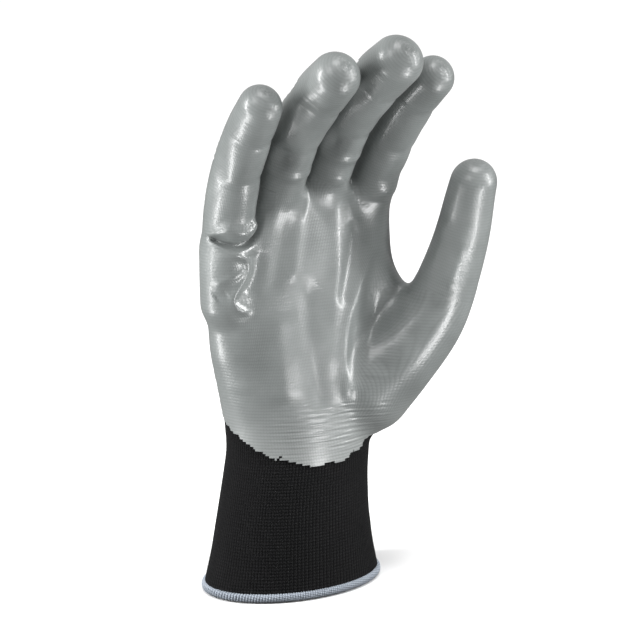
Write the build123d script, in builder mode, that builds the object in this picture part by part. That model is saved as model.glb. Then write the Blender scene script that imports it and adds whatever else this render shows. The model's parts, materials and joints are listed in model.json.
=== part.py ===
from build123d import *
from math import radians, sin, cos
import os

os.makedirs("parts", exist_ok=True)

# Palm-dipped right-hand work glove, size 9, hollow throughout.
# Origin at the centre of the wrist opening, in the plane of the hem.
# +Z runs to the fingertips, +X to the thumb side, -Y out of the palm.

# fabric and coating
coat_thickness = 0.6
knit_thickness = 1.0

# sleeve of cuff and hand: height, centre in X, half width, half depth, over the coating
sleeve_sections = [
    (0.0, 0.0, 38.0, 27.0),
    (30.0, 0.0, 34.0, 25.0),
    (55.0, 2.2, 32.0, 23.0),
    (85.0, 4.2, 38.8, 21.0),
    (120.0, 3.0, 43.2, 17.0),
    (145.0, 1.0, 44.0, 14.5),
    (161.0, 1.0, 44.0, 13.5),
]

# cuff
hem_height = 3.3
hem_bead = 0.8
hem_lip = 0.7
hem_inset = 2.3
elastic_rows = 12
elastic_pitch = 2.2
elastic_start = 5.0
elastic_thickness = 0.5
elastic_height = 0.8

# ball of the thumb, a round swelling that leads to the thumb's base
thenar_centre = Vector(28, -8, 80)
thenar_radius = 19.0

# hinges: each moving end is rounded about its hinge, inside a hollow that is wider by the gap
hinge_gap = 0.3
hinge_ratio = 1.42
wrist_height = 62.0
wrist_radius = 28.0
finger_pitch = 22.0
hinge_side = 2.0
outer_side = 10.0
base_room = 0.8
digit_room = 70.0
hand_room = 240.0

# palm coating: it climbs from the front of the wrist to the outer edge of the hand
dip_front_height = 54.0
dip_slope = 21.0 / 31.0
dip_back = 6.0
coat_back_ratio = 0.4

# digits: base hinge, lean sideways and forwards of the straight digit, direction of bending,
# bends at the hinges, lengths between hinges and to the centre of the tip, radii over the coating
digits = {
    "little": dict(base=(-33, -3, 147), splay=-2.5, lean=0, twist=3,
                   bends=(16, 15, 8), lengths=(30, 20, 14), radii=(10.2, 10.0, 9.4, 8.4)),
    "ring": dict(base=(-11, -1, 157), splay=-1.5, lean=0, twist=3,
                 bends=(27, 17, 8), lengths=(35, 25, 15), radii=(10.3, 10.2, 9.8, 9.0)),
    "middle": dict(base=(11, 0, 160), splay=0.5, lean=0, twist=3,
                   bends=(30, 17, 9), lengths=(38, 27, 16), radii=(10.4, 10.3, 10.0, 9.4)),
    "index": dict(base=(33, 0, 153), splay=2.0, lean=0, twist=4,
                  bends=(27, 14, 8), lengths=(34, 24, 15), radii=(10.4, 10.2, 9.8, 9.1)),
    "thumb": dict(base=(52, -25, 108), splay=14.6, lean=10, twist=-70,
                  bends=(0, 12), lengths=(34, 25.5), radii=(13.0, 10.6, 9.4)),
}
segment_names = {3: ("base", "middle", "tip"), 2: ("base", "tip")}


def hinge_planes(digit):
    """One plane at each hinge: X along the hinge, Y out of the back, Z along the digit."""
    splay = radians(digit["splay"])
    lean = radians(digit["lean"])
    twist = radians(digit["twist"])
    straight = Vector(sin(splay) * cos(lean), -sin(lean), cos(splay) * cos(lean))
    inward = Vector(sin(twist), -cos(twist), 0)
    inward = (inward - straight * inward.dot(straight)).normalized()
    origin = Vector(*digit["base"])
    bend = 0
    planes = []
    for angle, length in zip(digit["bends"], digit["lengths"]):
        bend += radians(angle)
        forward = straight * cos(bend) + inward * sin(bend)
        planes.append(Plane(origin=origin, x_dir=straight.cross(inward), z_dir=forward))
        origin = origin + forward * length
    return planes


def finger_solid(plane, back, length, start_radius, end_radius, is_tip):
    """Round bar along the plane's Z: straight behind the hinge, tapered ahead of it."""
    with BuildPart() as body:
        with BuildSketch(Plane(plane.origin, plane.x_dir, -plane.y_dir)):
            with BuildLine():
                if is_tip:
                    front = (0, length + end_radius)
                    middle = (end_radius * sin(radians(45)), length + end_radius * cos(radians(45)))
                    ThreePointArc((end_radius, length), middle, front)
                else:
                    front = (0, length)
                    Line((end_radius, length), front)
                Polyline(front, (0, -back), (start_radius, -back), (start_radius, 0), (end_radius, length))
            make_face()
        revolve(axis=Axis(plane.origin, plane.z_dir))
    return body.part


def hinge_space(plane, radius, left, right, room):
    """Room that a moving end needs: a roller about the hinge and all that lies ahead of it."""
    with BuildPart() as space:
        with BuildSketch(Plane(plane.origin - plane.x_dir * left, plane.y_dir, plane.x_dir)):
            Circle(radius)
            with Locations((0, room / 2)):
                Rectangle(room, room)
        extrude(amount=left + right)
    return space.part


def sleeve(inset):
    """Cuff and hand as one closed form, drawn in by the inset."""
    with BuildPart() as body:
        for height, centre, half_width, half_depth in sleeve_sections:
            with BuildSketch(Plane.XY.offset(height)):
                with Locations((centre, 0)):
                    Ellipse(half_width - inset, half_depth - inset)
        loft(ruled=True)
    return body.part


def hand(inset):
    """The sleeve with the ball of the thumb on it, a rounded cone from the palm to the thumb."""
    end = Vector(*digits["thumb"]["base"])
    run = end - thenar_centre
    start_radius = thenar_radius - inset
    end_radius = digits["thumb"]["radii"][0] - inset
    body_sleeve = sleeve(inset)
    with BuildPart() as body:
        add(body_sleeve)
        with Locations(thenar_centre):
            Sphere(start_radius)
        with Locations(end):
            Sphere(end_radius)
        with Locations(Plane(origin=thenar_centre, z_dir=run).location):
            Cone(start_radius, end_radius, run.length, align=(Align.CENTER, Align.CENTER, Align.MIN))
    return body.part


def finish(part, name):
    """Label one piece and write its file."""
    part.label = name
    export_step(part, f"parts/{name}.step")


wrist_plane = Plane(origin=(0, 0, wrist_height), x_dir=(1, 0, 0), z_dir=(0, 0, 1))
hand_start = hinge_space(wrist_plane, wrist_radius - hinge_gap, digit_room, digit_room, hand_room)
cuff_end = hinge_space(wrist_plane, wrist_radius, digit_room, digit_room, hand_room)

knit_face = sleeve(coat_thickness)
inner_face = sleeve(coat_thickness + knit_thickness)
elastic_face = sleeve(coat_thickness + knit_thickness + elastic_thickness)

# knit cuff: open at the wrist, cut away round the line that the wrist bends on
with BuildPart() as liner_cuff:
    add(knit_face)
    add(inner_face, mode=Mode.SUBTRACT)
    add(cuff_end, mode=Mode.SUBTRACT)
    with BuildSketch(Plane.XY):
        Rectangle(digit_room * 2, digit_room * 2)
    extrude(amount=hem_bead, mode=Mode.SUBTRACT)
finish(liner_cuff.part, "liner_cuff")

# elastic yarn laid into the rows of the cuff, on its inner face
with BuildPart() as cuff_elastic:
    for row in range(elastic_rows):
        with BuildSketch(Plane.XY.offset(elastic_start + row * elastic_pitch)):
            Rectangle(digit_room * 2, digit_room * 2)
        extrude(amount=elastic_height)
    add(inner_face, mode=Mode.INTERSECT)
    add(elastic_face, mode=Mode.SUBTRACT)
finish(cuff_elastic.part, "cuff_elastic")

# overlocked hem: thread wrapped round the cuff's raw edge, inside, below and outside
hem_width = sleeve_sections[0][2]
hem_depth = sleeve_sections[0][3]
with BuildPart() as hem_overlock:
    with BuildSketch(Plane.XY):
        Ellipse(hem_width - coat_thickness + hem_lip, hem_depth - coat_thickness + hem_lip)
        Ellipse(hem_width - hem_inset, hem_depth - hem_inset, mode=Mode.SUBTRACT)
    extrude(amount=hem_height)
    add(liner_cuff.part, mode=Mode.SUBTRACT)
finish(hem_overlock.part, "hem_overlock")

# room for the fingers and the thumb, taken out of the hand
finger_names = ["little", "ring", "middle", "index"]
sides = {name: [finger_pitch / 2 + hinge_gap, finger_pitch / 2 + hinge_gap] for name in finger_names}
sides["little"][0] += outer_side
sides["index"][1] += outer_side
sides["thumb"] = [digits["thumb"]["radii"][0] + hinge_side] * 2
digit_spaces = []
for name, (left, right) in sides.items():
    straight_digit = dict(digits[name], bends=(0, 0, 0))
    base_plane = hinge_planes(straight_digit)[0]
    radius = digits[name]["radii"][0] * hinge_ratio + base_room
    digit_spaces.append(hinge_space(base_plane, radius, left, right, digit_room))

hand_coat_face = hand(0)
hand_knit_face = hand(coat_thickness)
hand_inner_face = hand(coat_thickness + knit_thickness)

# knit hand, round the palm and the ball of the thumb, open to every digit and to the cuff
with BuildPart() as liner_hand:
    add(hand_knit_face)
    add(hand_inner_face, mode=Mode.SUBTRACT)
    add(hand_start, mode=Mode.INTERSECT)
    add(digit_spaces, mode=Mode.SUBTRACT)
finish(liner_hand.part, "liner_hand")

# nitrile palm: a skin on the knit, from the dip line at the wrist to the digits
dip_origin = (0, -sleeve_sections[2][3], dip_front_height)
dip_plane = Plane(origin=dip_origin, x_dir=(1, 0, 0), z_dir=(0, -dip_slope, 1))
back_plane = Plane(origin=(0, dip_back, 0), x_dir=(1, 0, 0), z_dir=(0, 1, 0))
with BuildPart() as coating_hand:
    add(hand_coat_face)
    add(hand_knit_face, mode=Mode.SUBTRACT)
    add(digit_spaces, mode=Mode.SUBTRACT)
    split(bisect_by=dip_plane, keep=Keep.TOP)
    split(bisect_by=back_plane, keep=Keep.BOTTOM)
finish(coating_hand.part, "coating_hand")

# digits: knit tubes and the nitrile skin round the palm side, the sides and the whole tip
for name, digit in digits.items():
    planes = hinge_planes(digit)
    radii = digit["radii"]
    lengths = digit["lengths"]
    count = len(planes)
    for index, segment in enumerate(segment_names[count]):
        plane = planes[index]
        is_tip = index == count - 1
        back = radii[index] * hinge_ratio
        wide = radii[index] + hinge_side
        rear = hinge_space(plane, back - hinge_gap, wide, wide, digit_room)
        bars = []
        for inset in (0, coat_thickness, coat_thickness + knit_thickness):
            start_radius = radii[index] - inset
            end_radius = radii[index + 1] - inset
            bars.append(finger_solid(plane, back, lengths[index], start_radius, end_radius, is_tip))
        coat_bar, knit_bar, inner_bar = bars
        front = None
        if not is_tip:
            next_plane = Plane(planes[index + 1].origin, plane.x_dir, plane.z_dir)
            front = hinge_space(next_plane, radii[index + 1] * hinge_ratio, wide, wide, digit_room)

        with BuildPart() as knit_tube:
            add(knit_bar)
            add(inner_bar, mode=Mode.SUBTRACT)
            add(rear, mode=Mode.INTERSECT)
            if front is not None:
                add(front, mode=Mode.SUBTRACT)
        finish(knit_tube.part, f"liner_{name}_{segment}")

        with BuildPart() as coat_skin:
            add(coat_bar)
            add(knit_bar, mode=Mode.SUBTRACT)
            add(rear, mode=Mode.INTERSECT)
            if front is not None:
                add(front, mode=Mode.SUBTRACT)
            with BuildSketch(plane.offset(-back)):
                with Locations((0, coat_back_ratio * radii[index] + digit_room / 2)):
                    Rectangle(digit_room, digit_room)
            extrude(amount=back + lengths[index], mode=Mode.SUBTRACT)
        finish(coat_skin.part, f"coating_{name}_{segment}")
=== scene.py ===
import json
import math
import bmesh
import bpy
import numpy as np
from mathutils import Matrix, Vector


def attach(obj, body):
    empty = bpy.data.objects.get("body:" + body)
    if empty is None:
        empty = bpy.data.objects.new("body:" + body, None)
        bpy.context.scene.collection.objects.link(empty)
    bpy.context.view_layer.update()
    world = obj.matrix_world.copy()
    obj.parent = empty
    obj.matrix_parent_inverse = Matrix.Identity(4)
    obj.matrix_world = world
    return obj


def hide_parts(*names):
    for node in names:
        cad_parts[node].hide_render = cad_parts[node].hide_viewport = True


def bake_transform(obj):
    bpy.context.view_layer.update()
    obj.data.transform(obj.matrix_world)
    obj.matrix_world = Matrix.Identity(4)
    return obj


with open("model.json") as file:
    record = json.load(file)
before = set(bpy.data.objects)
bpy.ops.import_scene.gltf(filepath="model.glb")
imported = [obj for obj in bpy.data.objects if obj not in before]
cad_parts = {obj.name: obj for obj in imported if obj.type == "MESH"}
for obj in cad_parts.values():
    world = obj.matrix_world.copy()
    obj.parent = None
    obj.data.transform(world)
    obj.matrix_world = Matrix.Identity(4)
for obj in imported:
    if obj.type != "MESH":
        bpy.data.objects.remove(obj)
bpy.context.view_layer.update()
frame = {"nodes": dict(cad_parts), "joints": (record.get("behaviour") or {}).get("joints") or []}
mm = 0.001

# A palm-dipped work glove. All shapes below are worked out in millimetres and written in metres.
# One field gives the distance to the glove's outer face at any point. The knit, the coating and
# the creases are read off it, so pieces that meet share one face and one normal at the meeting line.

hinges = {j["name"]: (np.array(j["pos_m"]) / mm, np.array(j["axis"])) for j in frame["joints"]}

# radii are over the coating, at each hinge and at the tip
digits = {
    "little": {"radii": (10.2, 10.0, 9.5, 8.6), "tipBend": 8, "tipLength": 14, "neck": 13, "puff": 0.7,
               "dents": ((33, -75, -1.2, 9, 28), (20, 0, 0.5, 12, 30))},
    "ring": {"radii": (10.3, 10.4, 10.6, 9.8), "tipBend": 8, "tipLength": 15, "neck": 14.5, "puff": 0.6,
             "dents": ((31, -48, -2.2, 5.5, 26), (60, -55, -1.6, 8, 25), (23, -10, 0.9, 2.2, 60))},
    "middle": {"radii": (10.4, 10.5, 10.7, 10.1), "tipBend": 9, "tipLength": 16, "neck": 14.5, "puff": 0.6,
               "dents": ((33, -48, -2.2, 5.5, 24), (66, -60, -1.8, 9, 25), (26, -5, 0.9, 2.4, 55),
                         (15, 0, 0.9, 4, 28))},
    "index": {"radii": (10.4, 10.0, 9.4, 8.7), "tipBend": 10, "tipLength": 14, "neck": 17, "puff": 0.6,
              "dents": ((20, 15, -0.8, 3.0, 30), (14, 15, 1.1, 4.5, 30), (8, -5, -0.5, 2.0, 35))},
    "thumb": {"radii": (13.8, 11.0, 9.5), "tipBend": 12, "tipLength": 25.5, "neck": 13, "puff": 0.0,
              "dents": ((24, 34, 0.8, 11, 13), (28, -10, 0.6, 11, 13))},
}
segments = {4: ("base", "middle", "tip"), 3: ("base", "tip")}
# where a digit's centre line starts inside the palm, measured from its first hinge
fingerRoot = {"offset": (0, 1, -26), "radius": 9.5, "rounds": 3}
thumbRoot = {"offset": (-22.5, 17, -28), "radius": 20, "rounds": 5}
thumbFacing = (-0.35, -0.94, 0.0)
# coating at a knuckle: rise for a puff of 1, place along the digit from the knuckle, half length
knucklePuffs = ((-0.45, 0, 2.2), (0.3, -7.5, 5.0), (0.2, 6.5, 5.0))

# cuff and palm: height, centre in X, half width, half depth, over the coating
palm = {
    "height": (-12, 0, 15, 30, 45, 58, 72, 85, 100, 120, 135, 148, 160, 175),
    "centre": (-2, -0.9, -0.6, -0.2, 1.0, 2.6, 4.0, 4.4, 3.9, 3.2, 2.2, 1.2, 0.5, 0),
    "width": (42.4, 39.8, 36.1, 33.7, 32.3, 31.9, 34.9, 38.6, 41.2, 42.6, 43.4, 43.6, 43.2, 42),
    "depth": (27.8, 27, 26, 25, 23.6, 22.8, 22.2, 21, 19.4, 16.8, 15.2, 13.8, 11.8, 10),
    "webX": (-46, -33, -22, -11, 0, 11, 22, 33, 46),
    "webZ": (146, 152, 158, 163, 166, 167, 165, 160, 152),
    "thumbMelt": 5.0,
    "webFrom": (33.0, -3, 129),
    "webTo": (43.0, -12.5, 107),
    "webRadii": (7.2, 11.0),
    "webMelt": 7.0,
    "fingerMelt": 4.0,
}
coatThickness = 0.55
knitDepth = 0.6
knitThickness = 1.0
stitch = 1.3


def smoothMin(a, b, width):
    # the lesser of a and b, rounded where they are within the width of each other
    share = np.clip(0.5 + 0.5 * (b - a) / width, 0, 1)
    return b * (1 - share) + a * share - width * share * (1 - share)


def smoothStep(x, low, high):
    t = np.clip((x - low) / (high - low), 0, 1)
    return t * t * (3 - 2 * t)


def smoothCurve(points, rounds):
    # corner cutting: each run keeps its middle half, the two ends stay
    for _ in range(rounds):
        a, b = points[:-1], points[1:]
        cut = np.stack([0.75 * a + 0.25 * b, 0.25 * a + 0.75 * b], 1).reshape(-1, points.shape[1])
        points = np.vstack([points[:1], cut, points[-1:]])
    return points


def addObject(name, data):
    thing = bpy.data.objects.new(name, data)
    bpy.context.scene.collection.objects.link(thing)
    return thing


def newMesh(name, points, faces, uv, material):
    # a smooth mesh from points in millimetres, with stitch coordinates at its faces' corners
    mesh = bpy.data.meshes.new(name)
    mesh.from_pydata((points * mm).tolist(), [], faces)
    layer = mesh.uv_layers.new(name="stitches")
    layer.data.foreach_set("uv", uv.astype(np.float32).ravel())
    mesh.polygons.foreach_set("use_smooth", [True] * len(mesh.polygons))
    mesh.materials.append(material)
    return mesh


def turned(vector, axis, degrees):
    # the vector turned about the axis by the right-hand rule
    a = math.radians(degrees)
    along = axis * (axis @ vector)
    return along + (vector - along) * math.cos(a) + np.cross(axis, vector) * math.sin(a)


def buildDigit(name, d):
    # centre line through the hinges to the centre of the tip, with its radius as a fourth coordinate
    joints = [hinges[f"{name}_{part}_bend"] for part in segments[len(d["radii"])]]
    flex = joints[0][1] * (-1 if name == "thumb" else 1)
    places = [pos for pos, _ in joints]
    last = places[-1] - places[-2]
    last = turned(last / np.linalg.norm(last), flex, d["tipBend"])
    tip = places[-1] + last * d["tipLength"]
    root = thumbRoot if name == "thumb" else fingerRoot
    start = places[0] + root["offset"]
    line = np.column_stack([[start] + places + [tip], [root["radius"]] + list(d["radii"])])
    knots = line[:, :3].copy()
    line = smoothCurve(line.astype(float), root["rounds"])
    run = np.concatenate([[0], np.cumsum(np.linalg.norm(np.diff(line[:, :3], axis=0), axis=1))])
    at = [run[np.argmin(np.linalg.norm(line[:, :3] - k, axis=1))] for k in knots]
    d.update(line=line[:, :3], radius=line[:, 3], run=run - at[1], knots=[a - at[1] for a in at], flex=flex)
    d["facing"] = np.array(thumbFacing) if name == "thumb" else None


def lineAt(d, s):
    # point and direction of the centre line at run s
    point = np.stack([np.interp(s, d["run"], d["line"][:, i]) for i in range(3)], -1)
    ahead = np.stack([np.interp(s + 1.5, d["run"], d["line"][:, i]) for i in range(3)], -1)
    behind = np.stack([np.interp(s - 1.5, d["run"], d["line"][:, i]) for i in range(3)], -1)
    way = ahead - behind
    return point, way / np.linalg.norm(way, axis=-1, keepdims=True)


def digitField(p, d):
    # distance to the round bar along the centre line, and the run of the nearest place on it
    best = np.full(len(p), 1e3)
    where = np.zeros(len(p))
    a, r, run = d["line"], d["radius"], d["run"]
    for i in range(len(a) - 1):
        leg = a[i + 1] - a[i]
        t = np.clip((p - a[i]) @ leg / (leg @ leg), 0, 1)
        away = np.linalg.norm(p - a[i] - t[:, None] * leg, axis=1) - (r[i] + t * (r[i + 1] - r[i]))
        nearer = away < best
        best[nearer] = away[nearer]
        where[nearer] = (run[i] + t * (run[i + 1] - run[i]))[nearer]
    return best, where


for digitName, digit in digits.items():
    buildDigit(digitName, digit)
print("centre lines done")

palmHeights = np.linspace(palm["height"][0], palm["height"][-1], 300)


def palmTable(key):
    # the sections' values made smooth along the height, by a running mean over 9 mm
    fine = np.interp(palmHeights, palm["height"], palm[key])
    kernel = np.ones(15) / 15
    padded = np.concatenate([2 * fine[0] - fine[7:0:-1], fine, 2 * fine[-1] - fine[-2:-9:-1]])
    return np.convolve(padded, kernel, mode="valid")


palmTables = {key: palmTable(key) for key in ("centre", "width", "depth")}


def palmAt(z, key):
    return np.interp(z, palmHeights, palmTables[key])


def palmField(p):
    # distance to an oval tube, then closed by a rounded top that follows the webs
    a, b = palmAt(p[:, 2], "width"), palmAt(p[:, 2], "depth")
    x, y = p[:, 0] - palmAt(p[:, 2], "centre"), p[:, 1]
    k0 = np.sqrt((x / a) ** 2 + (y / b) ** 2) + 1e-9
    k1 = np.sqrt((x / a ** 2) ** 2 + (y / b ** 2) ** 2) + 1e-9
    side = k0 * (k0 - 1) / k1
    top = p[:, 2] - np.interp(p[:, 0], palm["webX"], palm["webZ"])
    return -smoothMin(-side, -top, 7)


# folds of the palm as lines across (x, z): height over the face (less than 0 is a groove) and half width
palmFolds = [
    {"line": ((-43, 151), (-39, 147.5), (-33, 146), (-27, 147), (-23, 152), (-22, 160)),
     "rise": -3.2, "wide": 1.5},
    {"line": ((-42, 155), (-36, 151.5), (-29, 151.5), (-25, 156)), "rise": 2.0, "wide": 3.0},
    {"line": ((-41, 143.5), (-32, 142), (-28, 139), (-29, 133), (-34, 128), (-36, 124), (-33, 120),
              (-26, 118)),
     "rise": 0.9, "wide": 1.6},
    {"line": ((-24, 143), (-24, 134), (-30, 126)), "rise": -0.6, "wide": 3.4},
    {"line": ((-42, 131), (-37, 133), (-30, 135.5)), "rise": 0.6, "wide": 1.8},
    {"line": ((-41, 125), (-37, 127)), "rise": -0.5, "wide": 2.4},
    {"line": ((13, 162), (12, 148), (12, 132), (8, 108), (6, 88)), "rise": 0.7, "wide": 4.2},
    {"line": ((31, 138), (22, 123), (14, 110), (11, 92), (12, 74)), "rise": 1.2, "wide": 3.2},
    {"line": ((22, 150), (18, 134), (12, 116)), "rise": -1.0, "wide": 3.4},
    {"line": ((38, 124), (29, 108), (24, 88)), "rise": -0.9, "wide": 4.2},
    {"line": ((-16, 118), (-17, 100), (-15, 80)), "rise": 0.7, "wide": 4.6},
    {"line": ((-3, 132), (-4, 100), (2, 74)), "rise": -0.9, "wide": 4.4},
    {"line": ((-3, 164), (-6, 148), (-10, 128)), "rise": 0.5, "wide": 2.8},
    {"line": ((-11, 162), (-14, 144), (-19, 124)), "rise": -0.5, "wide": 3.2},
    {"line": ((-29, 116), (-31, 100), (-29, 84)), "rise": 0.5, "wide": 4.0},
]
# fine crosswise ribs, where the coating follows the wrist's rows
ribBand = {"low": 59, "high": 78, "pitch": 2.2, "rise": 0.085, "left": -18, "right": 34}


def lineDistance(x, z, line):
    # distance to a broken line in the plane, and how far along it, from 0 to 1
    best = np.full(len(x), 1e3)
    along = np.zeros(len(x))
    pts = smoothCurve(np.array(line, float), 2)
    run = np.concatenate([[0], np.cumsum(np.linalg.norm(np.diff(pts, axis=0), axis=1))])
    for i in range(len(pts) - 1):
        leg = pts[i + 1] - pts[i]
        t = np.clip(((x - pts[i, 0]) * leg[0] + (z - pts[i, 1]) * leg[1]) / (leg @ leg), 0, 1)
        away = np.hypot(x - pts[i, 0] - t * leg[0], z - pts[i, 1] - t * leg[1])
        nearer = away < best
        best[nearer] = away[nearer]
        along[nearer] = ((run[i] + t * (run[i + 1] - run[i])) / run[-1])[nearer]
    return best, along


def softWaves(p):
    # low uneven swells: a sum of sines in fixed directions
    x, y, z = p.T
    wave = np.sin(0.21 * x + 0.13 * z + 1.0) + np.sin(-0.16 * x + 0.19 * z + 0.11 * y + 2.1)
    wave += 0.4 * np.sin(0.37 * x - 0.09 * z + 0.6)
    return wave


def palmRelief(p):
    # all folds of the palm side, fading out round the edge of the hand
    x, y, z = p.T
    front = smoothStep(-y, 0.0, 7.0)
    relief = np.zeros(len(p))
    near = front > 0
    if not near.any():
        return relief
    xs, zs = x[near], z[near]
    total = np.zeros(len(xs))
    for fold in palmFolds:
        away, along = lineDistance(xs, zs, fold["line"])
        fade = smoothStep(along, -0.02, 0.15) * smoothStep(1 - along, -0.02, 0.15)
        total += fold["rise"] * fade * np.exp(-(away / fold["wide"]) ** 2)
    band = smoothStep(zs, ribBand["low"] - 4, ribBand["low"] + 3)
    band *= smoothStep(-zs, -ribBand["high"] - 3, -ribBand["high"] + 4)
    band *= smoothStep(xs, ribBand["left"] - 8, ribBand["left"] + 6)
    band *= smoothStep(-xs, -ribBand["right"], -ribBand["right"] + 10)
    total += ribBand["rise"] * band * np.sin(2 * np.pi * (zs + 0.05 * xs) / ribBand["pitch"])
    relief[near] = total * front[near]
    return relief


def digitRelief(p, d, where):
    # puffs of coating between the knuckles and creases across them, on the palm side
    point, way = lineAt(d, where)
    out = p - point
    out /= np.linalg.norm(out, axis=1, keepdims=True) + 1e-9
    inward = np.cross(d["flex"], way)
    palmar = np.einsum("ij,ij->i", out, inward)
    inside = smoothStep(palmar, -0.25, 0.55)
    relief = np.zeros(len(p))
    for knuckle in d["knots"][2:-1]:
        for rise, ahead, wide in knucklePuffs:
            relief += rise * d["puff"] * inside * np.exp(-((where - knuckle - ahead) / wide) ** 2)
    # single dents and ridges: middle run, angle round the digit from the palm side, depth and half sizes
    sideways = out @ d["flex"] / np.linalg.norm(d["flex"])
    angle = np.degrees(np.arctan2(sideways, palmar))
    for middle, turn, rise, long, wide in d.get("dents", ()):
        relief += rise * np.exp(-((where - middle) / long) ** 2 - ((angle - turn) / wide) ** 2)
    return relief


def thumbWeb(p):
    # distance to the tapered bar that fills the corner between the palm and the thumb
    start, end = np.array(palm["webFrom"], float), np.array(palm["webTo"], float)
    leg = end - start
    t = np.clip((p - start) @ leg / (leg @ leg), 0, 1)
    return np.linalg.norm(p - start - t[:, None] * leg, axis=1) - np.interp(t, (0, 1), palm["webRadii"])


def gloveField(p, only=None):
    # distance to the glove's outer face; only = names of the digits that can be near
    near = palmField(p)
    fingers = np.full(len(p), 60.0)
    thumb = np.full(len(p), 60.0)
    relief = np.zeros(len(p))
    for name, d in digits.items():
        if only is not None and name not in only:
            continue
        lo, hi = d["line"].min(0) - 30, d["line"].max(0) + 30
        close = ((p > lo) & (p < hi)).all(1)
        if not close.any():
            continue
        q = p[close]
        away, where = digitField(q, d)
        blend = smoothStep(where, 0, 12)
        relief[close] += np.where(np.abs(away) < 8, digitRelief(q, d, where) * blend, 0) * (away < 8)
        if name == "thumb":
            thumb[close] = away
        else:
            fingers[close] = np.minimum(fingers[close], away)
    field = smoothMin(near, fingers, palm["fingerMelt"])
    field = smoothMin(field, thumbWeb(p), palm["webMelt"])
    field = smoothMin(field, thumb, palm["thumbMelt"])
    swell = 0.10 * softWaves(p) * smoothStep(p[:, 2], 62, 80)
    return field - palmRelief(p) - relief - swell


def fieldNormals(p, only=None, step=0.25):
    # the field's steepest way out, by central differences
    slopes = []
    for i in range(3):
        shift = np.zeros(3)
        shift[i] = step
        slopes.append(gloveField(p + shift, only) - gloveField(p - shift, only))
    n = np.stack(slopes, 1)
    return n / (np.linalg.norm(n, axis=1, keepdims=True) + 1e-9)


def settle(origin, out, start, level, only, rounds=9):
    # walk along each ray until the field has the wanted level
    r = np.array(start, float)
    for _ in range(rounds):
        r = r - 0.9 * (gloveField(origin + out * r[:, None], only) - level)
    return origin + out * r[:, None]


def gridFaces(rows, columns, closed=True):
    # quads between the rings of a grid, with the corners' row and column numbers
    i, j = np.meshgrid(np.arange(rows - 1), np.arange(columns if closed else columns - 1), indexing="ij")
    i, j = i.ravel(), j.ravel()
    k = (j + 1) % columns
    faces = np.stack([i * columns + j, i * columns + k, (i + 1) * columns + k, (i + 1) * columns + j], 1)
    rowNumber = np.stack([i, i, i + 1, i + 1], 1)
    columnNumber = np.stack([j, j + 1, j + 1, j], 1)
    return faces, rowNumber, columnNumber


def outward(points, faces, uv, normals):
    # turn the faces that look inwards, and their corner values with them
    a, b, c, d = (points[faces[:, i]] for i in range(4))
    facing = np.einsum("ij,ij->i", np.cross(c - a, d - b), normals[faces[:, 0]])
    flip = facing < 0
    faces[flip] = faces[flip][:, ::-1]
    uv[flip] = uv[flip][:, ::-1]
    return faces, uv


def makeShell(name, points, faces, uv, normals, thickness, material, caps=()):
    # a wall of even thickness: the outer face, the same face drawn in along its normals, and rims
    faces, uv = outward(points, faces.copy(), uv.copy(), normals)
    used, faces = np.unique(faces, return_inverse=True)
    faces = faces.reshape(-1, 4)
    lookup = {int(u): i for i, u in enumerate(used)}
    caps = [[lookup[int(v)] for v in cap] for cap in caps]
    points, normals = points[used], normals[used]
    count = len(points)
    edges = np.concatenate([faces[:, [i, (i + 1) % 4]] for i in range(4)])
    edges = np.concatenate([edges] + [np.stack([np.array(c), np.roll(c, -1)], 1) for c in caps])
    edges = edges[edges[:, 0] != edges[:, 1]]
    key = np.sort(edges, 1) @ np.array([count, 1])
    _, first, times = np.unique(key, return_index=True, return_counts=True)
    rim = edges[first[times == 1]]
    inner = points - normals * thickness
    corners = np.stack([rim[:, 1], rim[:, 0], rim[:, 0] + count, rim[:, 1] + count], 1)
    both = np.vstack([points, inner])
    rimPoints = both[corners.ravel()]
    rimFaces = np.arange(len(rimPoints)).reshape(-1, 4) + 2 * count
    rimWay = np.cross(both[corners[:, 1]] - both[corners[:, 0]], both[corners[:, 3]] - both[corners[:, 0]])
    rimWay /= np.linalg.norm(rimWay, axis=1, keepdims=True) + 1e-12
    allPoints = np.vstack([both, rimPoints])
    allNormals = np.vstack([normals, -normals, np.repeat(rimWay, 4, 0)])
    # a triangle is held as a quad with one corner twice, which is dropped here
    sheets = np.vstack([faces, faces[:, ::-1] + count])
    keep = sheets != np.roll(sheets, 1, 1)
    corners = np.split(sheets[keep], np.cumsum(keep.sum(1))[:-1])
    allFaces = [c.tolist() for c in corners] + rimFaces.tolist()
    uvFlat = [np.vstack([uv, uv[:, ::-1]])[keep], np.zeros((len(rimPoints), 2))]
    for cap in caps:
        allFaces += [cap, [v + count for v in cap[::-1]]]
        uvFlat += [np.zeros((2 * len(cap), 2))]
    mesh = newMesh(name, allPoints, allFaces, np.vstack(uvFlat), material)
    mesh.normals_split_custom_set_from_vertices(allNormals.tolist())
    return addObject(name, mesh)


# height at the palm's middle and its climb to the back, depth left bare on hand and digits, edges
dipEdge = {
    "front": 54.5, "climb": 0.68, "climbFrom": 23, "thumbSide": 2.0, "back": 5.0, "digit": 0.62, "tip": 0.7,
    "ragged": 0.75, "corner": 5, "web": 16, "webRise": 10, "webWide": 13,
    "fingerFrom": -4, "thumbFrom": -22, "easeIn": 14,
}


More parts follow.
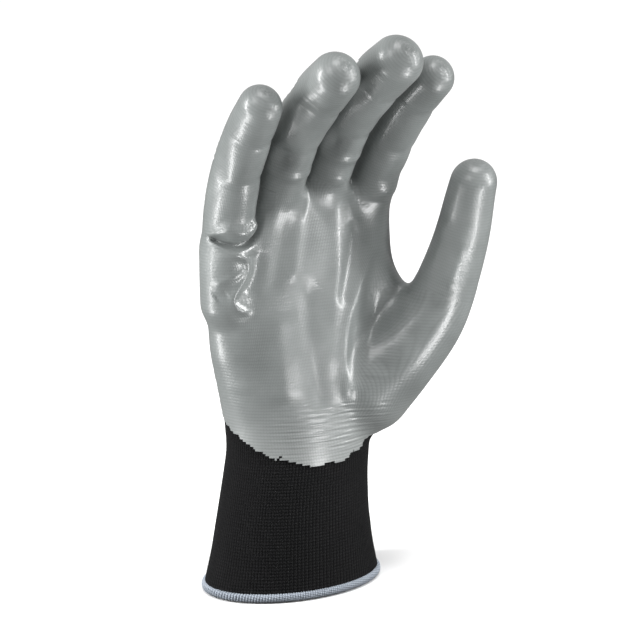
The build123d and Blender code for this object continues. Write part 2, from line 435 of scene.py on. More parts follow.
def cover(p, only=None):
    # how far inside the dipped area a point is, in millimetres; less than 0 is bare knit
    x, y, z = p.T
    dip = z - dipEdge["front"] - dipEdge["climb"] * (y + dipEdge["climbFrom"])
    dip = dip - dipEdge["thumbSide"] * smoothStep(x, 8, 30)
    back = dipEdge["back"] - y
    best = np.full(len(p), 1e3)
    second = np.full(len(p), 1e3)
    for name, d in digits.items():
        if only is not None and name not in only and name == "thumb":
            continue
        away, where = digitField(p, d)
        second = np.minimum(second, np.maximum(best, away))
        point, way = lineAt(d, where)
        out = p - point
        if d["facing"] is None:
            facing = np.cross(d["flex"], way)
        else:
            facing = d["facing"] - way * (way @ d["facing"])[:, None]
        facing /= np.linalg.norm(facing, axis=1, keepdims=True)
        radius = np.interp(where, d["run"], d["radius"])
        bare = dipEdge["digit"] + dipEdge["tip"] * smoothStep(where, d["knots"][-1] - 16, d["knots"][-1] - 4)
        digitCover = np.einsum("ij,ij->i", out, facing) + bare * radius
        start = dipEdge["thumbFrom"] if name == "thumb" else dipEdge["fingerFrom"]
        share = smoothStep(where, start, start + dipEdge["easeIn"]) * (away < best)
        best = np.minimum(best, away)
        back = back * (1 - share) + digitCover * share
    # the coating runs further into the corners between the digits
    back = back + dipEdge["corner"] * smoothStep(-second, -7, -2)
    aboveWeb = p - palm["webTo"] - (0, 0, dipEdge["webRise"])
    back = back + dipEdge["web"] * np.exp(-(aboveWeb ** 2).sum(1) / dipEdge["webWide"] ** 2)
    # the edge steps from stitch to stitch
    step = np.sin(7.1 * np.floor(x / stitch) + 3.3 * np.floor(z / stitch)) * 0.55
    step += 0.8 * np.sin(0.45 * x + 0.3 * z) + 0.5 * np.sin(1.1 * x - 0.7 * z + 2)
    return np.minimum(dip, back) + dipEdge["ragged"] * step


def coatFaces(points, faces, uv, only):
    # the faces that the dip covers, with their corner values
    covered = cover(points[faces].mean(1), only) > 0
    return faces[covered], uv[covered]


def shellPair(name, bodies, points, faces, uv, normals, only, caps, nodes):
    # the knit below, and the coating where the dip covers it
    coated, coatedUv = coatFaces(points, faces, uv, only)
    knitPoints = points - normals * knitDepth
    knit = makeShell(name + "Knit", knitPoints, faces, uv, normals, knitThickness, knitCloth, caps)
    coat = makeShell(name + "Coat", points, coated, coatedUv, normals, coatThickness, nitrile, caps)
    for piece, node, slot in ((knit, nodes[0], "knit_black"), (coat, nodes[1], "nitrile_grey")):
        bodies(piece)
        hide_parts(node)


def digitRings(d, low, high, spacing, tip):
    # ring centres and directions along the centre line, then over the round tip
    rows = max(2, int(round((high - low) / spacing)) + 1)
    runs = np.linspace(low, high, rows)
    point, way = lineAt(d, runs)
    lean = np.zeros(rows)
    if tip:
        extra = np.radians(np.linspace(6, 88, 16))
        runs = np.concatenate([runs, high + extra * d["radii"][-1]])
        point = np.vstack([point, np.repeat(point[-1:], len(extra), 0)])
        way = np.vstack([way, np.repeat(way[-1:], len(extra), 0)])
        lean = np.concatenate([lean, extra])
    return runs, point, way, lean


seam = {"proud": 0.02, "early": 1.0, "fade": 3.0}


def digitPart(name, part, low, high, bodies, nodes, count=96, spacing=0.85):
    # one stretch of a digit: rings of rays from the centre line out to the field
    d = digits[name]
    tip = part == "tip"
    runs, point, way, lean = digitRings(d, low, high, spacing, tip)
    side = d["flex"] - way * (way @ d["flex"])[:, None]
    side /= np.linalg.norm(side, axis=1, keepdims=True)
    inward = np.cross(side, way)
    turn = np.arange(count) / count * 2 * np.pi
    out = np.cos(turn)[None, :, None] * inward[:, None] + np.sin(turn)[None, :, None] * side[:, None]
    out = out * np.cos(lean)[:, None, None] + way[:, None] * np.sin(lean)[:, None, None]
    origin = np.repeat(point, count, 0)
    out = out.reshape(-1, 3)
    radius = np.interp(np.repeat(runs, count), d["run"], d["radius"])
    # the first stretch starts a little early and proud of the hand, so that it covers the meeting line
    level = seam["proud"] * smoothStep(-np.repeat(runs, count), -d["neck"] - seam["fade"], -d["neck"])
    points = settle(origin, out, radius, level, [name])
    normals = fieldNormals(points, [name])
    faces, rowNumber, columnNumber = gridFaces(len(runs), count)
    wales = round(2 * np.pi * np.mean(d["radii"]) / stitch)
    uv = np.stack([columnNumber / count * wales, runs[rowNumber] / stitch], -1)
    caps = []
    if tip:
        caps = [[(len(runs) - 1) * count + j for j in range(count)]]
    shellPair(name + part.capitalize(), bodies, points, faces, uv, normals, [name], caps, nodes)


# share of the way round the wrist, at even steps of the oval's angle, measured along the oval
ovalHalf = (40, 21)
ovalTurn = np.linspace(-np.pi, np.pi, 721)
ovalStep = np.hypot(ovalHalf[0] * np.cos(ovalTurn), ovalHalf[1] * np.sin(ovalTurn))
ovalShare = np.concatenate([[0], np.cumsum((ovalStep[1:] + ovalStep[:-1]) / 2)])
ovalShare /= ovalShare[-1]
palmWales = 144
wristTop = 88.0


def palmStitches(p):
    # columns counted round the oval from the middle of the back, rows counted up from the hem
    x = (p[:, 0] - palmAt(p[:, 2], "centre")) / palmAt(p[:, 2], "width")
    y = p[:, 1] / palmAt(p[:, 2], "depth")
    turn = np.arctan2(x, -y)
    return np.stack([np.interp(turn, ovalTurn, ovalShare) * palmWales, p[:, 2] / stitch], 1)


cuffKnit = {
    "low": 1.2, "rowsPerStitch": 1.5, "columnsPerWale": 3, "ribHeight": 0.14, "ribFade": (66, 84),
    "bendLow": 38, "bendHigh": 86,
}


def buildWrist():
    # rings of rays from the axis, a few columns to a wale, with the ribs raised on the bare knit
    perWale = cuffKnit["columnsPerWale"]
    columns = palmWales * perWale
    rows = int((wristTop - cuffKnit["low"]) / stitch * cuffKnit["rowsPerStitch"]) + 1
    z = np.linspace(cuffKnit["low"], wristTop, rows)
    turn = np.interp(np.arange(columns) / columns, ovalShare, ovalTurn)
    out = np.stack([ovalHalf[0] * np.sin(turn), -ovalHalf[1] * np.cos(turn), 0 * turn], 1)
    out /= np.linalg.norm(out, axis=1, keepdims=True)
    origin = np.stack([palmAt(z, "centre"), 0 * z, z], 1)
    start = 1 / np.sqrt((out[None, :, 0] / palmAt(z, "width")[:, None]) ** 2
                        + (out[None, :, 1] / palmAt(z, "depth")[:, None]) ** 2)
    origin = np.repeat(origin, columns, 0)
    out = np.tile(out, (rows, 1))
    points = settle(origin, out, start.ravel(), 0, ["thumb"])
    normals = fieldNormals(points, ["thumb"])
    faces, rowNumber, columnNumber = gridFaces(rows, columns)
    uv = np.stack([columnNumber / perWale, z[rowNumber] / stitch], -1)
    coated, coatedUv = coatFaces(points, faces, uv, ["thumb"])
    coat = makeShell("wristCoat", points, coated, coatedUv, normals, coatThickness, nitrile)
    # ribs: a cosine across each wale, fading out under the hand
    grid = points.reshape(rows, columns, 3)
    across = np.roll(grid, -1, 1) - np.roll(grid, 1, 1)
    across = (across / np.linalg.norm(across, axis=2, keepdims=True)).reshape(-1, 3)
    phase = np.tile(np.arange(columns) % perWale / perWale * 2 * np.pi, rows)
    fadeLow, fadeHigh = cuffKnit["ribFade"]
    height = cuffKnit["ribHeight"] * smoothStep(-np.repeat(z, columns), -fadeHigh, -fadeLow)
    knitPoints = points - normals * (knitDepth + height * np.cos(phase))[:, None]
    slope = height * np.sin(phase) * 2 * np.pi / stitch
    ribNormals = normals - across * slope[:, None]
    ribNormals /= np.linalg.norm(ribNormals, axis=1, keepdims=True)
    knit = makeShell("wristKnit", knitPoints, faces, uv, ribNormals, knitThickness, knitCloth)
    for piece, slot in ((coat, "nitrile_grey"), (knit, "knit_black")):
        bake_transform(piece)
    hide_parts("liner_cuff")
    print("wrist done", rows, columns)


handNet = {"low": (-50, -46, 86), "high": (78, 26, 180), "step": 0.9, "rounds": 3, "reach": 0.3}


def netField(low, high, step):
    # the field on a lattice, worked out in full only near the face
    coarse = step * 4
    counts = [int(math.ceil((h - l) / coarse)) for l, h in zip(low, high)]
    axes = [l + coarse * (np.arange(n) + 0.375) for l, n in zip(low, counts)]
    rough = gloveField(np.stack(np.meshgrid(*axes, indexing="ij"), -1).reshape(-1, 3)).reshape(counts)
    for axis in range(3):
        rough = np.repeat(rough, 4, axis)
    fineAxes = [l + step * np.arange(4 * n) for l, n in zip(low, counts)]
    nodes = np.stack(np.meshgrid(*fineAxes, indexing="ij"), -1)
    values = rough.copy()
    near = np.abs(rough) < coarse * 1.3
    values[near] = gloveField(nodes[near])
    return nodes, values


def netFaces(nodes, values, step):
    # one point in each cell that the face passes through, one quad for each lattice edge that it cuts
    inside = values < 0
    shape = np.array(values.shape) - 1
    total, weight = np.zeros((*shape, 3)), np.zeros(shape)
    quads = []
    number = -np.ones(shape, int)
    edgeSets = []
    for axis in range(3):
        first = np.moveaxis(inside, axis, 0)[:-1]
        second = np.moveaxis(inside, axis, 0)[1:]
        cut = np.moveaxis(first != second, 0, axis)
        v0 = np.moveaxis(np.moveaxis(values, axis, 0)[:-1], 0, axis)
        v1 = np.moveaxis(np.moveaxis(values, axis, 0)[1:], 0, axis)
        i, j, k = np.nonzero(cut)
        t = v0[i, j, k] / (v0[i, j, k] - v1[i, j, k])
        place = nodes[i, j, k].copy()
        place[:, axis] += t * step
        cells = np.stack([i, j, k], 1)
        others = [a for a in range(3) if a != axis]
        ring = []
        for da, db in ((0, 0), (1, 0), (1, 1), (0, 1)):
            cell = cells.copy()
            cell[:, others[0]] -= da
            cell[:, others[1]] -= db
            ok = ((cell >= 0) & (cell < shape)).all(1)
            np.add.at(total, tuple(cell[ok].T), place[ok])
            np.add.at(weight, tuple(cell[ok].T), 1)
            ring.append((cell, ok))
        edgeSets.append(ring)
    hit = weight > 0
    number[hit] = np.arange(hit.sum())
    points = total[hit] / weight[hit][:, None]
    for ring in edgeSets:
        ok = ring[0][1] & ring[1][1] & ring[2][1] & ring[3][1]
        quads.append(np.stack([number[tuple(cell[ok].T)] for cell, _ in ring], 1))
    return points, np.vstack(quads)


def trimNet(points, faces):
    # cut the net flat at the wrist and at each digit's neck
    mesh = bpy.data.meshes.new("net")
    mesh.from_pydata(points.tolist(), [], faces.tolist())
    bm = bmesh.new()
    bm.from_mesh(mesh)
    bpy.data.meshes.remove(mesh)
    cuts = [(None, np.array((0, 0, wristTop)), np.array((0, 0, -1.0)))]
    for d in digits.values():
        place, way = lineAt(d, np.array([d["neck"]]))
        cuts.append((d, place[0], way[0]))
    for d, place, way in cuts:
        chosen = list(bm.faces)
        if d is not None:
            centres = np.array([f.calc_center_median() for f in chosen])
            away, where = digitField(centres, d)
            near = (away < 3.0) & (where > d["neck"] - 6)
            for other in digits.values():
                if other is not d:
                    near &= away <= digitField(centres, other)[0]
            chosen = [f for f, keep in zip(chosen, near) if keep]
        geom = set(chosen)
        for f in chosen:
            geom.update(f.edges)
            geom.update(f.verts)
        bmesh.ops.bisect_plane(
            bm, geom=list(geom), plane_co=place, plane_no=way, clear_outer=True, dist=1e-4
        )
    bmesh.ops.triangulate(bm, faces=[f for f in bm.faces if len(f.verts) > 4])
    bm.verts.ensure_lookup_table()
    bm.verts.index_update()
    points = np.array([v.co for v in bm.verts])
    corners = [[v.index for v in f.verts] for f in bm.faces]
    bm.free()
    return points, np.array([c + c[-1:] if len(c) == 3 else c for c in corners])


def wire(tree, source, target):
    tree.links.new(source, target)


def mathNode(tree, operation, a, b=None, c=None):
    node = tree.nodes.new("ShaderNodeMath")
    node.operation = operation
    for i, value in enumerate((a, b, c)):
        if value is None:
            continue
        if isinstance(value, (int, float)):
            node.inputs[i].default_value = value
        else:
            wire(tree, value, node.inputs[i])
    return node.outputs[0]


def makeGroup(name, inputs, outputs):
    group = bpy.data.node_groups.new(name, "ShaderNodeTree")
    for label, kind, value in inputs:
        socket = group.interface.new_socket(label, in_out="INPUT", socket_type=kind)
        if value is not None:
            socket.default_value = value
    for label, kind in outputs:
        group.interface.new_socket(label, in_out="OUTPUT", socket_type=kind)
    return group, group.nodes.new("NodeGroupInput"), group.nodes.new("NodeGroupOutput")


def buildStitchGroup():
    # V stitches: each column is folded about its middle, and the rows lean along the fold
    group, start, end = makeGroup(
        "stitchPattern",
        [("Lean", "NodeSocketFloat", 0.7), ("Softness", "NodeSocketFloat", 0.0)],
        [("Height", "NodeSocketFloat"), ("Loop", "NodeSocketFloat")],
    )
    uvNode = group.nodes.new("ShaderNodeUVMap")
    uvNode.uv_map = "stitches"
    split = group.nodes.new("ShaderNodeSeparateXYZ")
    wire(group, uvNode.outputs[0], split.inputs[0])
    u = mathNode(group, "FRACT", split.outputs[0])
    fold = mathNode(group, "ABSOLUTE", mathNode(group, "SUBTRACT", u, 0.5))
    lean = mathNode(group, "MULTIPLY", fold, start.outputs["Lean"])
    row = mathNode(group, "FRACT", mathNode(group, "ADD", split.outputs[1], lean))
    # height of a leg: a half wave over the row, times a half wave over half a column
    rowWave = mathNode(group, "SINE", mathNode(group, "MULTIPLY", row, math.pi))
    legWave = mathNode(group, "SINE", mathNode(group, "MULTIPLY", fold, 2 * math.pi))
    sharp = mathNode(group, "MULTIPLY", rowWave, legWave)
    soft = mathNode(group, "MULTIPLY", mathNode(group, "ADD", rowWave, legWave), 0.5)
    mix = group.nodes.new("ShaderNodeMix")
    wire(group, start.outputs["Softness"], mix.inputs["Factor"])
    wire(group, sharp, mix.inputs["A"])
    wire(group, soft, mix.inputs["B"])
    wire(group, mix.outputs["Result"], end.inputs["Height"])
    wire(group, rowWave, end.inputs["Loop"])
    return group


def buildMottleGroup():
    # uneven patches at two scales, on the piece's own coordinates
    group, start, end = makeGroup(
        "mottle",
        [("Scale", "NodeSocketFloat", 60.0), ("Fine scale", "NodeSocketFloat", 600.0)],
        [("Patches", "NodeSocketFloat"), ("Grain", "NodeSocketFloat")],
    )
    place = group.nodes.new("ShaderNodeTexCoord")
    for label, scale in (("Patches", "Scale"), ("Grain", "Fine scale")):
        noise = group.nodes.new("ShaderNodeTexNoise")
        noise.inputs["Detail"].default_value = 3
        wire(group, place.outputs["Object"], noise.inputs["Vector"])
        wire(group, start.outputs[scale], noise.inputs["Scale"])
        wire(group, noise.outputs["Fac"], end.inputs[label])
    return group


stitchGroup = buildStitchGroup()
mottleGroup = buildMottleGroup()


def useGroup(tree, group, **values):
    node = tree.nodes.new("ShaderNodeGroup")
    node.node_tree = group
    for label, value in values.items():
        node.inputs[label.replace("_", " ")].default_value = value
    return node


def ramp(tree, source, stops):
    node = tree.nodes.new("ShaderNodeValToRGB")
    for i, (at, color) in enumerate(stops):
        stop = node.color_ramp.elements[i] if i < 2 else node.color_ramp.elements.new(at)
        stop.position = at
        stop.color = (*color, 1)
    wire(tree, source, node.inputs[0])
    return node.outputs[0]


def spread(tree, source, low, high):
    node = tree.nodes.new("ShaderNodeMapRange")
    node.inputs["To Min"].default_value = low
    node.inputs["To Max"].default_value = high
    wire(tree, source, node.inputs["Value"])
    return node.outputs[0]


def bumps(tree, shader, layers):
    # (height, distance in metres) laid over one another
    normal = None
    for height, distance in layers:
        bump = tree.nodes.new("ShaderNodeBump")
        bump.inputs["Distance"].default_value = distance
        wire(tree, height, bump.inputs["Height"])
        if normal is not None:
            wire(tree, normal, bump.inputs["Normal"])
        normal = bump.outputs[0]
    wire(tree, normal, shader.inputs["Normal"])


def newMaterial(name):
    material = bpy.data.materials.new(name)
    material.use_nodes = True
    return material, material.node_tree, material.node_tree.nodes["Principled BSDF"]


nitrileLook = {
    "dark": (0.120, 0.130, 0.127), "middle": (0.168, 0.181, 0.178), "light": (0.225, 0.240, 0.236),
    "pale": (0.37, 0.385, 0.38), "paleLow": 0.056, "paleHigh": 0.082, "rough": (0.26, 0.38),
    "stitchBump": 0.00005, "grainBump": 0.00004, "film": 0.35, "filmRough": 0.2,
    "net": {"Lean": 0.35, "Softness": 0.75}, "mottle": {"Scale": 48.0, "Fine_scale": 700.0},
}


def buildNitrile():
    # a thin rubber skin over the knit: the stitches show through it as a faint net of bumps, and are painted
    # into its colour as painted shade in the gaps and painted highlight on the loops
    material, tree, shader = newMaterial("nitrileGrey")
    look = nitrileLook
    net = useGroup(tree, stitchGroup, **look["net"])
    mottle = useGroup(tree, mottleGroup, **look["mottle"])
    patches = mathNode(tree, "MULTIPLY", mottle.outputs["Patches"], 0.8)
    # painted shade and highlight: the stitches' height darkens the gaps and lightens the loop tops, over
    # random patches
    tone = mathNode(tree, "MULTIPLY_ADD", net.outputs["Height"], 0.2, patches)
    color = ramp(tree, tone, [(0.25, look["dark"]), (0.85, look["light"]), (0.52, look["middle"])])
    # the skin thins out and pales where the dip ends
    place = tree.nodes.new("ShaderNodeTexCoord")
    split = tree.nodes.new("ShaderNodeSeparateXYZ")
    wire(tree, place.outputs["Object"], split.inputs[0])
    thin = tree.nodes.new("ShaderNodeMapRange")
    thin.inputs["From Min"].default_value = look["paleHigh"]
    thin.inputs["From Max"].default_value = look["paleLow"]
    wire(tree, split.outputs[2], thin.inputs["Value"])
    loops = mathNode(tree, "MULTIPLY_ADD", net.outputs["Height"], 0.55, 0.12)
    share = mathNode(tree, "MULTIPLY", thin.outputs[0], loops)
    mix = tree.nodes.new("ShaderNodeMix")
    mix.data_type = "RGBA"
    wire(tree, share, mix.inputs["Factor"])
    wire(tree, color, mix.inputs[6])
    mix.inputs[7].default_value = (*look["pale"], 1)
    wire(tree, mix.outputs[2], shader.inputs["Base Color"])
    wire(tree, spread(tree, mottle.outputs["Grain"], *look["rough"]), shader.inputs["Roughness"])
    shader.inputs["Coat Weight"].default_value = look["film"]
    shader.inputs["Coat Roughness"].default_value = look["filmRough"]
    net, grain = net.outputs["Height"], mottle.outputs["Grain"]
    bumps(tree, shader, [(net, look["stitchBump"]), (grain, look["grainBump"])])
    return material


knitLook = {
    # the first colour is painted shade: the gaps between the loops, darker than the yarn's tops
    "shadedGroove": (0.0012, 0.0012, 0.0014), "top": (0.0065, 0.0065, 0.0072), "rough": (0.72, 0.92),
    "stitchBump": 0.00035, "fuzzBump": 0.00008, "sheen": 0.02, "specular": 0.18,
    "net": {"Lean": 0.8, "Softness": 0.15}, "mottle": {"Scale": 90.0, "Fine_scale": 2600.0},
}


def buildKnit():
    # yarn loops, with painted shade: darker in the gaps between them, and a little fuzz
    material, tree, shader = newMaterial("knitBlack")
    look = knitLook
    loops = useGroup(tree, stitchGroup, **look["net"])
    fuzz = useGroup(tree, mottleGroup, **look["mottle"])
    # the loops' height is painted into the colour: painted shade in the gaps, lighter on the loop tops
    height = mathNode(tree, "MULTIPLY", loops.outputs["Height"], 0.75)
    tone = mathNode(tree, "MULTIPLY_ADD", fuzz.outputs["Grain"], 0.35, height)
    wire(tree, ramp(tree, tone, [(0.12, look["shadedGroove"]), (0.95, look["top"])]), shader.inputs["Base Color"])
    wire(tree, spread(tree, fuzz.outputs["Patches"], *look["rough"]), shader.inputs["Roughness"])
    shader.inputs["Sheen Weight"].default_value = look["sheen"]
    shader.inputs["Specular IOR Level"].default_value = look["specular"]
    stitches, grain = loops.outputs["Height"], fuzz.outputs["Grain"]
    bumps(tree, shader, [(stitches, look["stitchBump"]), (grain, look["fuzzBump"])])
    return material


threadLook = {
    # the first colour is painted shade: the grooves between the plies
    "shadedGroove": (0.16, 0.185, 0.215), "top": (0.36, 0.40, 0.46), "rough": (0.55, 0.78), "sheen": 0.15,
    "plyBump": 0.00012, "fuzzBump": 0.00005, "mottle": {"Scale": 140.0, "Fine_scale": 2400.0},
}


def buildThread():
    # twisted overlock thread: slanting plies along it, with painted shade in the grooves between them
    material, tree, shader = newMaterial("overlockThread")
    look = threadLook
    uvNode = tree.nodes.new("ShaderNodeUVMap")
    uvNode.uv_map = "stitches"
    split = tree.nodes.new("ShaderNodeSeparateXYZ")
    wire(tree, uvNode.outputs[0], split.inputs[0])
    slant = mathNode(tree, "ADD", split.outputs[0], mathNode(tree, "MULTIPLY", split.outputs[1], 2.0))
    ply = mathNode(tree, "ABSOLUTE", mathNode(tree, "SINE", mathNode(tree, "MULTIPLY", slant, math.pi)))
    fuzz = useGroup(tree, mottleGroup, **look["mottle"])
    # the plies' height is painted into the colour: painted shade in the grooves, over random grain
    tone = mathNode(tree, "MULTIPLY_ADD", ply, 0.6, mathNode(tree, "MULTIPLY", fuzz.outputs["Grain"], 0.5))
    color = ramp(tree, tone, [(0.15, look["shadedGroove"]), (0.9, look["top"])])
    wire(tree, color, shader.inputs["Base Color"])
    wire(tree, spread(tree, fuzz.outputs["Patches"], *look["rough"]), shader.inputs["Roughness"])
    shader.inputs["Sheen Weight"].default_value = look["sheen"]
    bumps(tree, shader, [(ply, look["plyBump"]), (fuzz.outputs["Grain"], look["fuzzBump"])])
    return material


elasticLook = {
    # the first colour is painted shade: the grooves between the wraps
    "shadedGroove": (0.004, 0.004, 0.005), "top": (0.03, 0.03, 0.033), "rough": (0.6, 0.85), "wraps": 700.0,
    "wander": 1.5, "wrapBump": 0.00012, "fuzzBump": 0.00005, "mottle": {"Scale": 120.0, "Fine_scale": 2600.0},
}


def buildElastic():
    # covered rubber yarn: fine wraps as slanting bands on the piece's own coordinates, darker between the
    # wraps as painted shade
    material, tree, shader = newMaterial("elasticYarn")
    look = elasticLook
    place = tree.nodes.new("ShaderNodeTexCoord")
    wave = tree.nodes.new("ShaderNodeTexWave")
    wave.wave_type = "BANDS"
    wave.bands_direction = "DIAGONAL"
    wave.inputs["Scale"].default_value = look["wraps"]
    wave.inputs["Distortion"].default_value = look["wander"]
    wire(tree, place.outputs["Object"], wave.inputs["Vector"])
    fuzz = useGroup(tree, mottleGroup, **look["mottle"])
    grain = mathNode(tree, "MULTIPLY", fuzz.outputs["Grain"], 0.4)
    # the wraps' height is painted into the colour: painted shade in the grooves, over random grain
    tone = mathNode(tree, "MULTIPLY_ADD", wave.outputs["Fac"], 0.6, grain)
    color = ramp(tree, tone, [(0.1, look["shadedGroove"]), (0.9, look["top"])])
    wire(tree, color, shader.inputs["Base Color"])
    wire(tree, spread(tree, fuzz.outputs["Patches"], *look["rough"]), shader.inputs["Roughness"])
    bumps(tree, shader, [(wave.outputs["Fac"], look["wrapBump"]), (fuzz.outputs["Grain"], look["fuzzBump"])])
    return material


nitrile = buildNitrile()
knitCloth = buildKnit()
overlockThread = buildThread()
elasticYarn = buildElastic()
print("materials done")


def buildHand():
    step = handNet["step"]
    nodes, values = netField(handNet["low"], handNet["high"], step)
    points, faces = netFaces(nodes, values, step)
    reach = handNet["reach"]
    for _ in range(handNet["rounds"]):
        normals = fieldNormals(points)
        points = points - normals * np.clip(gloveField(points), -reach, reach)[:, None] * 0.9
    points, faces = trimNet(points, faces)
    normals = fieldNormals(points)
    uv = palmStitches(points)[faces]
    wrap = uv[..., 0].max(1) - uv[..., 0].min(1) > palmWales / 2
    uv[..., 0] += wrap[:, None] * (uv[..., 0] < palmWales / 2) * palmWales

    def withHand(piece):
        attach(piece, "hand")

    shellPair("hand", withHand, points, faces, uv, normals, None, (), ("liner_hand", "coating_hand"))
    print("hand done", len(points), len(faces))


digitCuts = {"little": 25, "ring": 30, "middle": 32, "index": 30, "thumb": 27}


def buildDigitPieces(name):
    # each stretch is built as a piece of its own, from one cut near a hinge to the next
    d = digits[name]
    parts = segments[len(d["radii"])]
    knots = d["knots"]
    firstCut = digitCuts[name]
    secondCut = (knots[2] + knots[3]) / 2 if len(parts) == 3 else None
    cuts = [d["neck"], firstCut] + ([secondCut] if secondCut else []) + [knots[-1]]
    below = "hand"
    for i, part in enumerate(parts):
        low, high = cuts[i], cuts[i + 1]
        body = f"{name}_{part}"
        bendEnd = min(high, knots[i + 1] + 8) if i else high
        ends = lineAt(d, np.array([low + 0.4, bendEnd - 0.4]))[0]

        def bodies(piece, below=below, body=body, ends=ends):
            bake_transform(piece)

        first = low if i else low - seam["early"]
        digitPart(name, part, first, high, bodies, (f"liner_{body}", f"coating_{body}"))
        below = body
    print(name, "done")


hemLook = {
    "wraps": 180, "thread": 0.52, "height": 3.7, "half": 1.1, "inset": 0.9, "sides": 7, "stepsPerWrap": 14,
}


def hemRing(count, z, level):
    # points round the cuff at a depth under its outer face, with the way out at each
    turn = np.interp(np.arange(count) / count, ovalShare, ovalTurn)
    a, b = palmAt(z, "width") - level, palmAt(z, "depth") - level
    centre = np.stack([a * np.sin(turn) + palmAt(z, "centre"), -b * np.cos(turn), 0 * turn + z], 1)
    out = np.stack([np.sin(turn) / a, -np.cos(turn) / b, 0 * turn], 1)
    return centre, out / np.linalg.norm(out, axis=1, keepdims=True)


def hemPiece(name, points, faces, uv):
    return addObject(name, newMesh(name, points, faces.tolist(), uv, overlockThread))


def buildHem():
    # the thread's path goes round the cuff once while it circles the raw edge once a wrap
    look = hemLook
    count = look["wraps"] * look["stepsPerWrap"]
    middle = look["height"] / 2
    centre, out = hemRing(count, middle, look["inset"])
    lap = np.arange(count) / look["stepsPerWrap"] * 2 * np.pi
    up = np.array((0, 0, 1.0))
    path = centre + out * (np.cos(lap) * (look["half"] - look["thread"] / 2))[:, None]
    path = path + up * (np.sin(lap) * (middle - look["thread"]))[:, None]
    way = np.roll(path, -1, 0) - np.roll(path, 1, 0)
    way /= np.linalg.norm(way, axis=1, keepdims=True)
    side = out * np.cos(lap)[:, None] + up * np.sin(lap)[:, None]
    side -= way * np.einsum("ij,ij->i", side, way)[:, None]
    side /= np.linalg.norm(side, axis=1, keepdims=True)
    third = np.cross(way, side)
    angle = np.arange(look["sides"]) / look["sides"] * 2 * np.pi
    around = np.cos(angle)[None, :, None] * side[:, None] + np.sin(angle)[None, :, None] * third[:, None]
    tube = (path[:, None] + around * look["thread"]).reshape(-1, 3)
    faces, rowNumber, columnNumber = gridFaces(count + 1, look["sides"])
    faces = faces % (count * look["sides"])
    uv = np.stack([columnNumber / look["sides"], rowNumber / 3], -1)
    thread = hemPiece("hemThread", tube, faces, uv)
    # the folded edge inside the wraps: a flat rounded section carried round the cuff
    rings, sides = 180, 20
    centre, out = hemRing(rings, middle, look["inset"])
    angle = np.arange(sides) / sides * 2 * np.pi
    flatX = np.sign(np.cos(angle)) * np.abs(np.cos(angle)) ** 0.6 * (look["half"] - 0.35)
    flatZ = np.sign(np.sin(angle)) * np.abs(np.sin(angle)) ** 0.6 * (middle - 0.45)
    band = centre[:, None] + out[:, None] * flatX[None, :, None] + up * flatZ[None, :, None]
    faces, rowNumber, columnNumber = gridFaces(rings + 1, sides)
    faces = faces % (rings * sides)
    uv = np.stack([columnNumber / sides * 3, rowNumber], -1)
    core = hemPiece("hemFold", band.reshape(-1, 3), faces, uv)
    for piece in (thread, core):
        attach(piece, "cuff")
    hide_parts("hem_overlock")
    print("hem done")


buildWrist()
buildHand()
for digitName in digits:
    buildDigitPieces(digitName)
buildHem()
for slot in frame["nodes"]["cuff_elastic"].material_slots:
    slot.material = elasticYarn

studio = {
    "floorDrop": 0.4, "floorHalf": 6000,
    "swing": 33, "rise": 14, "distance": 1300, "aimUp": 110, "aimRight": 10.04,
    "lens": 183.2, "world": 0.5, "backdrop": 0.95, "sun": 1.9, "sunAngle": 28, "sunTurn": (12, -4, 0),
    "floorSeen": (0.94, 0.94, 0.94), "floorThrown": (0.16, 0.16, 0.16), "floorRough": 0.9,
}
softLights = {
    "leftStrip": {"azimuth": -74, "elevation": 14, "distance": 800, "size": (80, 560), "power": 7.0},
    "rightStrip": {"azimuth": 84, "elevation": 14, "distance": 800, "size": (80, 560), "power": 6.0},
    "front": {"azimuth": -34, "elevation": 40, "distance": 1500, "size": (600, 600), "power": 7.0},
}
lowLights = {
    "leftLow": {"azimuth": -66, "distance": 480, "size": (70, 560), "power": 2.4},
    "rightLow": {"azimuth": 52, "distance": 480, "size": (70, 560), "power": 2.4},
}


def wayOut(swing, rise):
    # unit vector away from the glove, swung from the palm's side towards the thumb and raised
    return np.array((math.sin(swing) * math.cos(rise), -math.cos(swing) * math.cos(rise), math.sin(rise)))


def areaLight(name, azimuth, elevation, distance, size, power, aim=(0, 0, 120)):
    # azimuth is measured from the camera's own side, to the right
    swing = math.radians(azimuth - studio["swing"])
    away = wayOut(swing, math.radians(elevation))
    place = (np.array(aim) + away * distance) * mm
    lamp = bpy.data.lights.new(name, "AREA")
    lamp.shape = "RECTANGLE"
    lamp.size, lamp.size_y = size[0] * mm, size[1] * mm
    lamp.energy = power
    light = addObject(name, lamp)
    light.location = Vector(place)
    light.rotation_euler = Vector(-away).to_track_quat("-Z", "Y").to_euler()
    light.visible_camera = False
    return light


def lowLight(name, azimuth, distance, size, power):
    # a strip lying just over the floor, its long side pointing at the hand
    swing = math.radians(azimuth - studio["swing"])
    light = areaLight(name, azimuth, 0, distance, size, power, aim=(0, 0, 6))
    light.rotation_euler = (math.pi, 0, swing)


def splitByRay(tree, thrown, seen, target):
    # the camera sees one shader, and all other rays meet the other
    path = tree.nodes.new("ShaderNodeLightPath")
    mix = tree.nodes.new("ShaderNodeMixShader")
    wire(tree, path.outputs["Is Camera Ray"], mix.inputs[0])
    wire(tree, thrown.outputs[0], mix.inputs[1])
    wire(tree, seen.outputs[0], mix.inputs[2])
    wire(tree, mix.outputs[0], target)


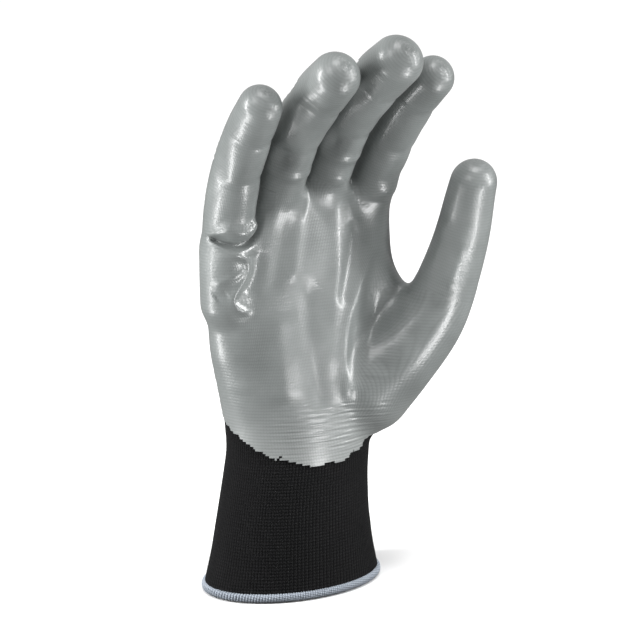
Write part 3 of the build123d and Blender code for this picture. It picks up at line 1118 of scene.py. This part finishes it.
def buildStudio():
    half = studio["floorHalf"] * mm
    drop = -studio["floorDrop"] * mm
    mesh = bpy.data.meshes.new("floor")
    corners = [(x * half, y * half, drop) for x, y in ((-1, -1), (1, -1), (1, 1), (-1, 1))]
    mesh.from_pydata(corners, [], [(0, 1, 2, 3)])
    floor = addObject("floor", mesh)
    material, tree, shader = newMaterial("floorWhite")
    shader.inputs["Base Color"].default_value = (*studio["floorSeen"], 1)
    shader.inputs["Roughness"].default_value = studio["floorRough"]
    # the floor looks pale but throws little light back, as a black flag under the hand would do
    flag = tree.nodes.new("ShaderNodeBsdfDiffuse")
    flag.inputs["Color"].default_value = (*studio["floorThrown"], 1)
    splitByRay(tree, flag, shader, tree.nodes["Material Output"].inputs["Surface"])
    mesh.materials.append(material)
    for name, values in softLights.items():
        areaLight(name, **values)
    for name, values in lowLights.items():
        lowLight(name, **values)
    sun = bpy.data.lights.new("overhead", "SUN")
    sun.energy, sun.angle = studio["sun"], math.radians(studio["sunAngle"])
    top = addObject("overhead", sun)
    top.rotation_euler = [math.radians(turn) for turn in studio["sunTurn"]]
    world = bpy.data.worlds.new("studio")
    world.use_nodes = True
    tree = world.node_tree
    fill = tree.nodes["Background"]
    seen = tree.nodes.new("ShaderNodeBackground")
    for background, strength in ((fill, studio["world"]), (seen, studio["backdrop"])):
        background.inputs["Color"].default_value = (1, 1, 1, 1)
        background.inputs["Strength"].default_value = strength
    splitByRay(tree, fill, seen, tree.nodes["World Output"].inputs["Surface"])
    bpy.context.scene.world = world


def buildCamera():
    swing, rise = math.radians(studio["swing"]), math.radians(studio["rise"])
    right = np.array((math.cos(swing), -math.sin(swing), 0))
    away = wayOut(-swing, rise)
    aim = np.array((0, 0, studio["aimUp"])) + right * studio["aimRight"]
    lens = bpy.data.cameras.new("camera")
    lens.lens = studio["lens"]
    lens.sensor_width = 36
    lens.clip_end = 50
    camera = addObject("camera", lens)
    camera.location = Vector((aim + away * studio["distance"]) * mm)
    camera.rotation_euler = Vector(-away).to_track_quat("-Z", "Y").to_euler()
    bpy.context.scene.camera = camera
    bpy.context.scene.view_settings.view_transform = "Standard"


buildStudio()
buildCamera()
print("studio done")
